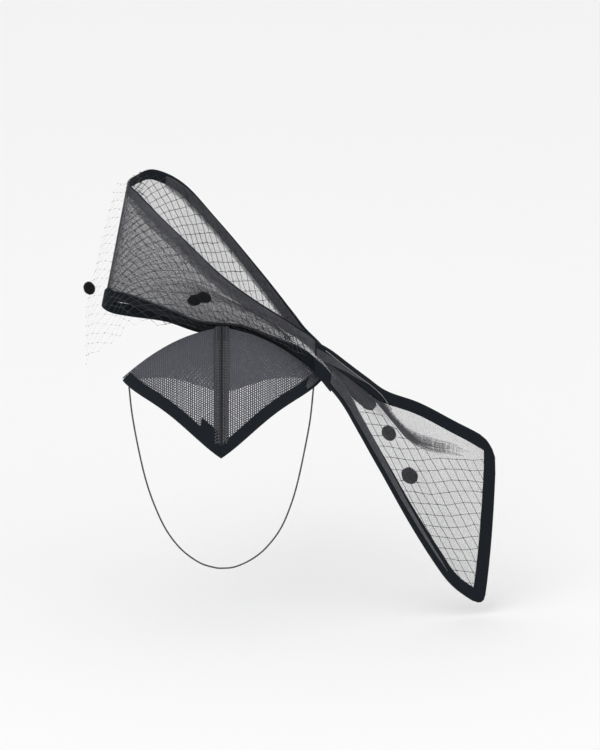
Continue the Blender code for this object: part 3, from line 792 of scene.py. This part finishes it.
def hem_lines(surface, first, last, edge, reach, off, pitch=0.0004):
    """Close threads of the mesh turned over an edge's ribbon: reach is where across the ribbon's width they
    start and end at the first place, and where they end at the last."""
    places = even_places(surface, first, last, edge, pitch)
    near, far, last_far = reach

    def at(place, part):
        end = far + (last_far - far) * (place - first) / (last - first)
        inset = ribbon_inset(surface, place, edge)[1] * (near + (end - near) * part)
        share = abs(edge - inset)
        return surface(place, share) + normal(surface, place, share) * off

    lines = [[at(place, part) for part in (0.0, 0.5, random.uniform(0.85, 1.0))] for place in places]
    count = int((max(far, last_far) - near) * ribbon_width / pitch) + 1
    for part in lerp(0.0, 1.0, count):
        run = places[int(random.uniform(0, 20)) : len(places) - int(random.uniform(0, 30))]
        lines.append([at(place, part) for place in run[::12]])
    return lines


random.seed(11)
up_view = Vector((0, math.sin(elevation), math.cos(elevation)))
loop_pleat = (
    (0.061, -0.009, 0.003),
    (0.048, 0.002, 0.003),
    (0.030, 0.0135, 0.0035),
    (0.012, 0.0215, 0.004),
    (-0.006, 0.029, 0.0055),
    (-0.020, 0.034, 0.007),
    (-0.033, 0.037, 0.008),
    (-0.050, 0.0385, 0.008),
    (-0.070, 0.036, 0.007),
)
sheer_end, front_end = 2.2, loop_last / 2
lines = []
lines += grain_lines(loop_surface, 0.0, sheer_end)
lines += grain_lines(loop_surface, sheer_end, front_end, pitch=front_pitch)
lines += grain_lines(loop_surface, front_end, loop_last)
route = seen_route(loop_surface, loop_pleat, (2.0, 0.4), loop_last)
lines += pleat_lines(loop_surface, route, off=0.0012, fade=0.3, pitch=0.0005)
hem_off = mesh_wall / 2 + clearance + ribbon_thickness + 0.0004
lines += hem_lines(loop_surface, 11.4, 17.5, 1.0, (0.25, 1.35, 1.1), hem_off)
lines += hem_lines(loop_surface, 0.6, 8.4, 1.0, (0.04, 0.9, 1.6), -mesh_wall / 2 - clearance)
loop_mesh = threads("loop_mesh", lines, mesh_thread_width, bow_mesh)
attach(loop_mesh, "root")
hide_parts("bow_loop")

top_edge, low_edge = [], []
for place in lerp(0.0, loop_last, 150):
    low = ribbon_inset(loop_surface, place, 0.0)[1]
    top = 1 - ribbon_inset(loop_surface, place, 1.0)[1]
    low_edge.append((Vector((place, 0.0)), Vector((place, low))))
    top_edge.append((Vector((place, 1.0)), Vector((place, top))))
loop_top = band("loop_top_ribbon", loop_surface, top_edge, flat_profile(mesh_wall / 2 + clearance))
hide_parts("bow_loop_top_ribbon")
loop_bottom = band("loop_bottom_binding", loop_surface, low_edge, fold_profile(mesh_wall))
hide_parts("bow_loop_bottom_binding")
loop_area, loop_length = strip_area(loop_surface, 0.0, loop_last)

# Bow tail
# The other end of the strip leaves the pinch to the right, with one soft fold that dies out towards a
# square-cut end, and the ribbon folded over all its edges. A thin light-grey tube along the fold is a painted
# highlight where the fold catches the light, and a loose ribbon end lies behind the mesh near the pinch.
tail_reach = 0.158
tail_depth = 0.040
tail_drop = 0.210
tail_end_bow = 0.10
tail_tip = (0.35, 0.07)
tail_corner = (0.75, 0.11)
tail_columns = (
    "low_along", "low_depth", "low_drop", "top_along", "top_depth", "top_drop", "step", "step_place", "roll"
)
tail_rows = (
    (-0.04, -0.275, -0.023, -0.04, -0.325, -0.157, 0.02, 0.60, 0),
    (0.032, -0.30, 0.032, 0.04, -0.30, -0.119, 0.06, 0.60, 15),
    (0.136, -0.40, 0.125, 0.152, -0.20, -0.052, 0.14, 0.62, 30),
    (0.248, -0.55, 0.256, 0.281, -0.025, 0.019, 0.26, 0.66, 40),
    (0.352, -0.65, 0.396, 0.411, 0.10, 0.088, 0.35, 0.69, 40),
    (0.496, -0.70, 0.604, 0.589, 0.20, 0.151, 0.32, 0.70, 28),
    (0.649, -0.65, 0.81, 0.769, 0.25, 0.238, 0.14, 0.78, 10),
    (0.755, -0.60, 0.923, 0.881, 0.24, 0.286, 0.05, 0.85, 0),
    (0.92, -0.55, 1.018, 0.99, 0.20, 0.335, 0.0, 0.90, 0),
)
tail_last = len(tail_rows) - 1


def tail_row(place):
    scale = {"along": tail_reach, "depth": tail_depth, "drop": -tail_drop}
    return strip_row(tail_columns, tail_rows, scale, place)


def tail_surface(place, share):
    """A point of the tail's strip; place runs from 0 at the pinch to the last row at its end."""
    low, top, row = tail_row(place)
    tangent = strip_tangent(tail_row, place)
    roll = math.radians(max(row["roll"], 0.0))
    return across(low, top, tangent, share, 0.0, 0.0, roll, row["step"] * tail_depth, row["step_place"])


def tail_end(share):
    """The place of the tail's cut end at a share of its width, bowed and with rounded corners."""
    length, width = tail_tip if share < 0.5 else tail_corner
    corner = max(1 - min(share, 1 - share) / width, 0.0)
    bow = tail_end_bow * 4 * share * (1 - share)
    return tail_last + bow - length * (1 - math.sqrt(1 - corner**2))


def seen_stretch(surface, place, share):
    """How much wider a ribbon lies where the strip turns away, so that it looks as wide from the front."""
    along, up = slopes(surface, place, share)
    toward = Vector((0, -math.cos(elevation), math.sin(elevation)))
    face = along.cross(up)
    seen = abs(face.dot(toward)) / (along - toward * along.dot(toward)).length
    return min(max(face.length / along.length / seen, 1.0), 1.5)


def tail_spots(lengths, widths):
    """Lines of spots along the tail, from its low edge to its top one, with bands as wide as the ribbon."""
    band_shares = (0.0, 0.12, 0.3, 0.55, 1.0)

    def spread(count, low_band, high_band):
        low = [low_band * share for share in band_shares] if low_band else [0.0]
        high = [1 - high_band * share for share in band_shares[::-1]]
        return low + lerp(low[-1], high[0], count)[1:-1] + high

    def end_band(share):
        end = tail_end(share)
        return ribbon_inset(tail_surface, end, share)[0] / end

    middle = spread(lengths, 0.0, end_band(0.5))
    rows = []
    for j in range(widths + 8):
        row = []
        for i, along in enumerate(middle):
            for _ in range(3):
                place = min(along * tail_end(0.5), float(tail_last))
                low = ribbon_inset(tail_surface, place, 0.0)[1]
                top = ribbon_inset(tail_surface, place, 1.0)[1] * seen_stretch(tail_surface, place, 0.95)
                share = spread(widths, low, top)[j]
                inside = min(max(share, tail_tip[1]), 1 - tail_corner[1])
                along = spread(lengths, 0.0, end_band(inside))[i]
            row.append(Vector((along * tail_end(share), share)))
        rows.append(row)
    return rows, len(band_shares) - 1


tail_pleat = (
    (0.100, -0.0216, 0.0023),
    (0.115, -0.0365, 0.0027),
    (0.130, -0.0504, 0.0036),
    (0.143, -0.0648, 0.005),
    (0.153, -0.0783, 0.006),
    (0.163, -0.0891, 0.0064),
    (0.173, -0.0972, 0.0064),
    (0.189, -0.1035, 0.0064),
    (0.207, -0.1071, 0.0050),
    (0.223, -0.1116, 0.0036),
)
lines = grain_lines(tail_surface, 0.0, tail_last + tail_end_bow, tail_end)
route = seen_route(tail_surface, tail_pleat, (2.0, 0.6), tail_last)
lines += pleat_lines(tail_surface, route, off=-0.0009, fade=0.7)
lines += hem_lines(tail_surface, 1.2, 6.6, 0.0, (0.42, 1.35, 0.5), hem_off)
lines += hem_lines(tail_surface, 0.1, 3.2, 1.0, (0.35, 1.3, 0.4), hem_off)
lines += hem_lines(cap_surface, 0.82, 0.965, 1.0, (0.12, 0.5, 1.25), -hem_off)
tail_mesh = threads("tail_mesh", lines, mesh_thread_width, bow_mesh)
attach(tail_mesh, "root")
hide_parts("bow_tail")
rows, inner_line = tail_spots(44, 10)
low, top = rows[0], rows[-1]
corner = len(low) - 1 - inner_line
stations = [(low[i], rows[inner_line][min(i, corner)]) for i in range(len(low) - 1)]
for j, row in enumerate(rows):
    stations.append((row[-1], rows[min(max(j, inner_line), len(rows) - 1 - inner_line)][corner]))
stations += [(top[i], rows[-1 - inner_line][min(i, corner)]) for i in reversed(range(len(top) - 1))]
tail_binding = band("tail_binding_ribbon", tail_surface, stations, fold_profile(mesh_wall))
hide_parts("bow_tail_binding")
ribbon_end_depth = 0.0022
ribbon_end_route = (
    (0.0972, -0.0324, 0.0025),
    (0.108, -0.0423, 0.0043),
    (0.1197, -0.0531, 0.0056),
    (0.1296, -0.0612, 0.0060),
    (0.1355, -0.0662, 0.0055),
    (0.139, -0.069, 0.0030),
)
ribbon_back = fabric("ribbon_back", (0.026, 0.027, 0.031), (0.040, 0.041, 0.046), 0.7, 500, bump=0.4)
ribbon_end_side = Vector((1.0, 0.0, 0.0)) * 0.66 + up_view * 0.75
rings, spot = [], (2.0, 0.5)
for along in lerp(0.0, len(ribbon_end_route) - 1.0, 24):
    x, rise, half = spline(ribbon_end_route, along)
    spot = seen_spot(tail_surface, x, rise, spot, tail_last)
    middle = tail_surface(*spot) - normal(tail_surface, *spot) * ribbon_end_depth
    back = ribbon_end_side.cross(up_view).normalized() * ribbon_thickness / 2
    corners = ((1, 1), (-1, 1), (-1, -1), (1, -1))
    rings.append([middle + ribbon_end_side * half * a + back * b for a, b in corners])
ribbon_end = polygons("tail_ribbon_end", rings, ribbon_back)
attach(ribbon_end, "root")
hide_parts("bow_ribbon_end")
# Route of the painted highlight: a thin light-grey tube laid just in front of the mesh along the fold's
# crease.
tail_fold_highlight = (
    (0.0927, -0.0177),
    (0.103, -0.0267),
    (0.1168, -0.0384),
    (0.1305, -0.0488),
    (0.1422, -0.059),
    (0.152, -0.072),
)
route = seen_route(tail_surface, tail_fold_highlight, (1.5, 0.7), tail_last)
spots = [spline(route, along) for along in lerp(0.0, len(route) - 1.0, 40)]
highlight_off = 0.0034
highlight_line = [tail_surface(*spot) + normal(tail_surface, *spot) * highlight_off for spot in spots]
# The tube's light grey is painted light: a highlight where the fold catches the light, not a thread the bow
# has.
highlight_paint_thread = fabric("highlight_paint_thread", (0.13, 0.13, 0.14), (0.22, 0.22, 0.235), 0.6, 400)
highlight_tube = tube("tail_fold_highlight", highlight_line, 0.0004, highlight_paint_thread, sides=6)
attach(highlight_tube, "root")
tail_area, tail_length = strip_area(tail_surface, 0.0, tail_last)

# Veiling
# Fine diamond veiling, knotted at each crossing, hangs over the front of the loop and below its left side.
# It lies on the loop's back layer where the loop stands open, and behind the tail's mesh.
strand_width = 0.00043
outer_strand = 0.14
knot_width = 0.0011
cell_along = 0.0052
cell_up = 0.0045
veil_strand = 0.001
veil_clearance = 0.003
tail_veil_clearance = 0.0025
veil_span = 0.84
veil_hang = 0.052
veil_overhang = 0.010
veil_rise = 0.0135
veil_fold_clearance = 0.007
bar_cover = 0.008
knot_drift = 0.0006


def veil_line(along, shown=False):
    """Points of the loop's veil across it, from its hem to where it passes over the back layer. As shown, it
    lies closer over the top edge and covers the bottom edge's ribbons."""
    fold = loop_last / 2
    place = fold * (1 - veil_span * along)
    front, back = place, 2 * fold - place
    hang = veil_hang * max(1 - along / 0.45, 0.0) ** 1.5
    hem = 0.2 * smooth_step((along - (0.6 if shown else 0.2)) / 0.25)
    if shown:
        hang += bar_cover * (1 - smooth_step((along - 0.25) / 0.4))
    open_share = smooth_step((along - 0.1) / 0.25)
    line = []
    off = veil_clearance + (veil_fold_clearance - veil_clearance) * smooth_step(1 - along / 0.35)
    for share in lerp(hem, 1.0, 6):
        line.append(loop_surface(front, share) - normal(loop_surface, front, share) * off)
    line.insert(0, line[0] - Vector((0, 0, hang + veil_strand)))
    for edge, rise in ((front, 1.0), (back, 1.0 - open_share)):
        rim = loop_surface(edge, 1.0)
        line.append(rim + (rim - loop_surface(edge, 0.9)).normalized() * (0.0 if shown else veil_rise * rise))
    line[-1] += normal(loop_surface, back, 1.0) * veil_clearance * open_share
    return line


def loop_veil(along, up, shown=False):
    """A point of the loop's veil at a share of its length and of its width."""
    line = veil_line(along, shown)
    lengths = [0.0]
    for low, high in zip(line, line[1:]):
        lengths.append(lengths[-1] + (high - low).length)
    wanted = up * lengths[-1]
    part = next(i for i in range(1, len(line)) if wanted <= lengths[i] + 1e-9)
    share = (wanted - lengths[part - 1]) / (lengths[part] - lengths[part - 1])
    point = line[part - 1].lerp(line[part], share)
    edge = max(1 - along / 0.15, 0.0) * (1 - up) ** 0.5
    return point - Vector((veil_overhang * edge, 0, 0))


def tail_veil(along, up):
    """A point of the veil behind the tail's mesh."""
    share = 0.07 + up * 0.58
    place = 2.0 + along * (tail_end(share) - 2.2)
    return tail_surface(place, share) - normal(tail_surface, place, share) * tail_veil_clearance


def veil_tree():
    """Geometry Nodes that turn a net of edges into strands with a knot at each crossing."""
    tree, given, made = start_tree("veil", "Net", "Veil", Strand="Float", Knot="Float", Seed="Int")
    curves = node(tree, "GeometryNodeMeshToCurve")
    ring = node(tree, "GeometryNodeCurvePrimitiveCircle", {"Resolution": 4})
    sweep = node(tree, "GeometryNodeCurveToMesh", {"Fill Caps": True})
    ball = node(tree, "GeometryNodeMeshIcoSphere", {"Subdivisions": 1})
    size = tree.nodes.new("FunctionNodeRandomValue")
    size.data_type = "FLOAT_VECTOR"
    size.inputs["Min"].default_value = (0.9, 0.6, 0.6)
    size.inputs["Max"].default_value = (2.2, 1.1, 1.1)
    thick = node(tree, "GeometryNodeInputNamedAttribute", {"Name": "thick"})
    finer = node(tree, "ShaderNodeMapRange", {"To Min": 0.5})
    fine = tree.nodes.new("ShaderNodeVectorMath")
    fine.operation = "SCALE"
    put = node(tree, "GeometryNodeInstanceOnPoints")
    join = node(tree, "GeometryNodeJoinGeometry")
    wire(
        tree,
        (given, "Net", curves, "Mesh"),
        (given, "Strand", ring, "Radius"),
        (thick, "Attribute", sweep, "Scale"),
        (curves, "Curve", sweep, "Curve"),
        (ring, "Curve", sweep, "Profile Curve"),
        (given, "Net", put, "Points"),
        (given, "Knot", ball, "Radius"),
        (ball, "Mesh", put, "Instance"),
        (given, "Seed", size, "Seed"),
        (thick, "Attribute", finer, "Value"),
        (size, "Value", fine, 0),
        (finer, "Result", fine, "Scale"),
        (fine, "Vector", put, "Scale"),
        (put, "Instances", join, "Geometry"),
        (sweep, "Mesh", join, "Geometry"),
    )
    return finish_tree(tree, given, made, join, "Geometry")


veil_nodes = veil_tree()
veil_thread = fabric("veil_thread", (0.030, 0.031, 0.037), (0.055, 0.056, 0.065), 0.6, 400)


def net(name, node, spots, edges, thin=()):
    """A veil from named spots and the pairs of them that strands join, fine at the thin ones."""
    shape = bmesh.new()
    thick = shape.verts.layers.float.new("thick")
    points = {key: shape.verts.new(point) for key, point in spots.items()}
    for key, point in points.items():
        point[thick] = outer_strand if key in thin else 1.0
    for a, b in edges:
        if a in points and b in points:
            shape.edges.new((points[a], points[b]))
    for point in [point for point in shape.verts if not point.link_edges]:
        shape.verts.remove(point)
    values = {"Strand": strand_width / 2 / 0.9, "Knot": knot_width / 2, "Seed": 3, "Material": veil_thread}
    made = apply_nodes(name, shape, veil_nodes, values)
    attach(made, "root")
    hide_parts(node)


def drift():
    """How far a knot lies from its even place."""
    return Vector([random.uniform(-knot_drift, knot_drift) for _ in range(3)])


random.seed(5)
spots, edges, thin = {}, [], set()
veil_length = 0.185
back_off = 0.0024
columns = int(veil_length / cell_along)
for i in range(columns + 1):
    along = i / columns
    line = veil_line(along, True)
    length = path_length(line)
    hanging, open_part = (line[1] - line[0]).length, (line[-1] - line[-2]).length
    for j in range(int(length / cell_up) + 1):
        if (i + j) % 2 == 0 and (along < 0.2 or j * cell_up > open_part):
            spots[i, j] = loop_veil(along, max(1 - j * cell_up / length, 0.0), True) + drift()
            if along < 0.14 or length - j * cell_up < hanging - 0.8 * bar_cover:
                thin.add((i, j))
            edges += [((i, j), (i + 1, j + 1)), ((i, j), (i + 1, j - 1))]
for i, place in enumerate(even_places(loop_surface, front_end + 0.4, loop_last - 1.0, 0.8, cell_along)):
    width = (loop_surface(place, 1.0) - loop_surface(place, 0.0)).length
    for j in range(1, int(width / cell_up)):
        if (i + j) % 2 == 0:
            share = 1 - j * cell_up / width
            off = normal(loop_surface, place, share) * back_off
            spots["back", i, j] = loop_surface(place, share) + off + drift()
            edges += [(("back", i, j), ("back", i + 1, j + 1)), (("back", i, j), ("back", i + 1, j - 1))]
net("loop_veiling", "loop_veil", spots, edges, thin)

# The tail's veiling is pulled askew: one set of strands lies nearly level and the other falls steeply.
level_gap = 0.0102
steep_gap = 0.0075
steep_slant = 0.52
spots, edges = {}, []
for i in range(-8, 30):
    for j in range(0, 26):
        rise = -0.055 - j * level_gap + 0.0012 * math.sin(i * 0.9)
        x = 0.105 + i * steep_gap + j * level_gap * steep_slant
        place, share = seen_spot(tail_surface, x, rise, (5.0, 0.4), tail_last)
        seen = tail_surface(place, share)
        miss = math.hypot(seen.x - x, seen.dot(up_view) - rise)
        top_share = min(tail_row(place)[2]["step_place"], 0.92)
        if miss < 0.0005 and 0.03 < share < top_share and 1.5 < place < tail_end(share) - 0.05:
            spots[i, j] = seen - normal(tail_surface, place, share) * tail_veil_clearance + drift()
            edges += [((i, j), (i + 1, j)), ((i, j), (i, j + 1))]
net("tail_veiling", "tail_veil", spots, edges)

# Chenille dots
# Small round tufts of black chenille are fixed to the veiling at a few crossings. Short fibres stand out all
# round a dense core.
dot_diameter = 0.012
dot_thickness = 0.008
fibre_length = 0.0011
fibre_width = 0.00016
fibre_density = 1.1e7
dot_aspect = 0.8
dot_columns = ("name", "veil", "along", "up", "size", "turn")
dots = (
    ("veil_dot_left", "loop", 0.045, 0.317, 1.18, 0),
    ("veil_dot_middle_outer", "loop", *seen_spot(loop_veil, -0.0235, 0.0296, (0.46, 0.25), 1.0), 1.1, 20),
    ("veil_dot_middle_inner", "loop", *seen_spot(loop_veil, -0.0145, 0.0322, (0.50, 0.25), 1.0), 1.1, -20),
    ("veil_dot_tail_upper", "tail", 0.36, 0.775, 1.25, 50),
    ("veil_dot_tail_lower", "tail", 0.50, 0.48, 1.42, 50),
)


def tuft_tree():
    """Geometry Nodes that cover a core with short fibres of a named density, length and width."""
    sizes = {"Density": "Float", "Seed": "Int", "Fibre": "Float", "Width": "Float"}
    tree, given, made = start_tree("tuft", "Core", "Tuft", **sizes)
    scatter = node(tree, "GeometryNodeDistributePointsOnFaces")
    hair = node(tree, "GeometryNodeMeshCone", {"Vertices": 3})
    lean = tree.nodes.new("FunctionNodeRandomValue")
    lean.data_type = "FLOAT_VECTOR"
    lean.inputs["Min"].default_value = (-0.7, -0.7, 0.0)
    lean.inputs["Max"].default_value = (0.7, 0.7, math.tau)
    turn = tree.nodes.new("FunctionNodeRotateEuler")
    turn.space = "LOCAL"
    length = node(tree, "FunctionNodeRandomValue", {"Min": 0.5, "Max": 1.2})
    put = node(tree, "GeometryNodeInstanceOnPoints")
    join = node(tree, "GeometryNodeJoinGeometry")
    wire(
        tree,
        (given, "Core", scatter, "Mesh"),
        (given, "Density", scatter, "Density"),
        (given, "Seed", scatter, "Seed"),
        (given, "Seed", lean, "Seed"),
        (given, "Fibre", hair, "Depth"),
        (given, "Width", hair, "Radius Bottom"),
        (scatter, "Rotation", turn, "Rotation"),
        (lean, "Value", turn, "Rotate By"),
        (scatter, "Points", put, "Points"),
        (hair, "Mesh", put, "Instance"),
        (turn, "Rotation", put, "Rotation"),
        (length, "Value", put, "Scale"),
        (put, "Instances", join, "Geometry"),
        (given, "Core", join, "Geometry"),
    )
    return finish_tree(tree, given, made, join, "Geometry")


tuft_nodes = tuft_tree()
chenille = fabric("chenille_tuft", (0.005, 0.006, 0.008), (0.013, 0.014, 0.018), 0.95, 900, 0.1, 0.15)
for count, row in enumerate(dots):
    dot = dict(zip(dot_columns, row))
    surface, side = (loop_veil, 1) if dot["veil"] == "loop" else (tail_veil, -1)
    face = normal(surface, dot["along"], dot["up"]) * side
    lean = face.to_track_quat("Z", "Y").to_matrix().to_4x4()
    turn = Matrix.Rotation(math.radians(dot["turn"]), 4, "Z")
    size = dot_diameter * dot["size"] - fibre_length
    shape = bmesh.new()
    bmesh.ops.create_icosphere(shape, subdivisions=3, radius=0.5)
    for point in shape.verts:
        lump = 1 + 0.05 * math.sin(9 * point.co.x + count) * math.cos(11 * point.co.y + 2 * count)
        point.co *= lump
    height = dot_thickness - fibre_length
    shape.transform(lean @ turn @ Matrix.Diagonal((size, dot_aspect * size, height, 1.0)))
    seat = dot_thickness / 2 + veil_strand / 2 + clearance
    shape.transform(Matrix.Translation(surface(dot["along"], dot["up"]) + face * seat))
    values = {"Density": fibre_density, "Seed": count, "Fibre": fibre_length, "Width": fibre_width}
    tuft = apply_nodes(dot["name"] + "_tuft", shape, tuft_nodes, values | {"Material": chenille})
    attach(tuft, "root")
    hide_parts(dot["name"])

# Thread bar
# A short bar of twisted thread holds the bow's back layer up off the cap near the pinch. It is hidden from
# the front, and stands for the stitches there.
tack_place = 16.0
tack_gap = 0.0018
tack_width = 0.002
edge = loop_surface(tack_place, 0.0)
foot = cap_top(edge.x, edge.y) + Vector((0, 0, cap_wall / 2 + tack_gap))
head = edge - Vector((0, 0, ribbon_thickness + clearance + tack_gap))
strands = []
for k in range(3):
    line = []
    for share in lerp(0.0, 1.0, 24):
        angle = math.tau * (k / 3 + 1.5 * share)
        around = Vector((math.cos(angle), math.sin(angle), 0)) * tack_width / 4
        line.append(foot.lerp(head, share) + around)
    strands.append(line)
tack = threads("thread_bar", strands, tack_width / 2, elastic_cover, sides=6)
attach(tack, "root")
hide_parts("bow_tack")

# Floor, backdrop and light
# A plain pale studio: white floor to the horizon, a soft key from the upper left and an even sky.
floor_drop = 0.012
floor_level = cad_box[0].z - floor_drop
shape = bmesh.new()
bmesh.ops.create_grid(shape, x_segments=1, y_segments=1, size=8.0)
floor_white = bpy.data.materials.new("floor_white")
floor_white.use_nodes = True
floor_shader = floor_white.node_tree.nodes["Principled BSDF"]
floor_shader.inputs["Base Color"].default_value = (0.92, 0.92, 0.92, 1.0)
floor_shader.inputs["Roughness"].default_value = 1.0
floor = piece("floor", shape, floor_white)
floor.location.z = floor_level

world = bpy.data.worlds.new("sky")
world.use_nodes = True
sky = world.node_tree.nodes["Background"]
sky.inputs["Color"].default_value = (1.0, 1.0, 1.0, 1.0)
sky.inputs["Strength"].default_value = 0.92
bpy.context.scene.world = world
for name, place, size, power in (("key", (-1.4, -2.2, 2.6), 2.4, 22), ("fill", (2.2, -1.6, 1.6), 2.6, 8)):
    lamp = bpy.data.objects.new(name, bpy.data.lights.new(name, "AREA"))
    lamp.data.size = size
    lamp.data.energy = power
    lamp.location = place
    lamp.rotation_euler = (look_at - lamp.location).to_track_quat("-Z", "Y").to_euler()
    bpy.context.scene.collection.objects.link(lamp)
bpy.context.scene.view_settings.view_transform = "Standard"
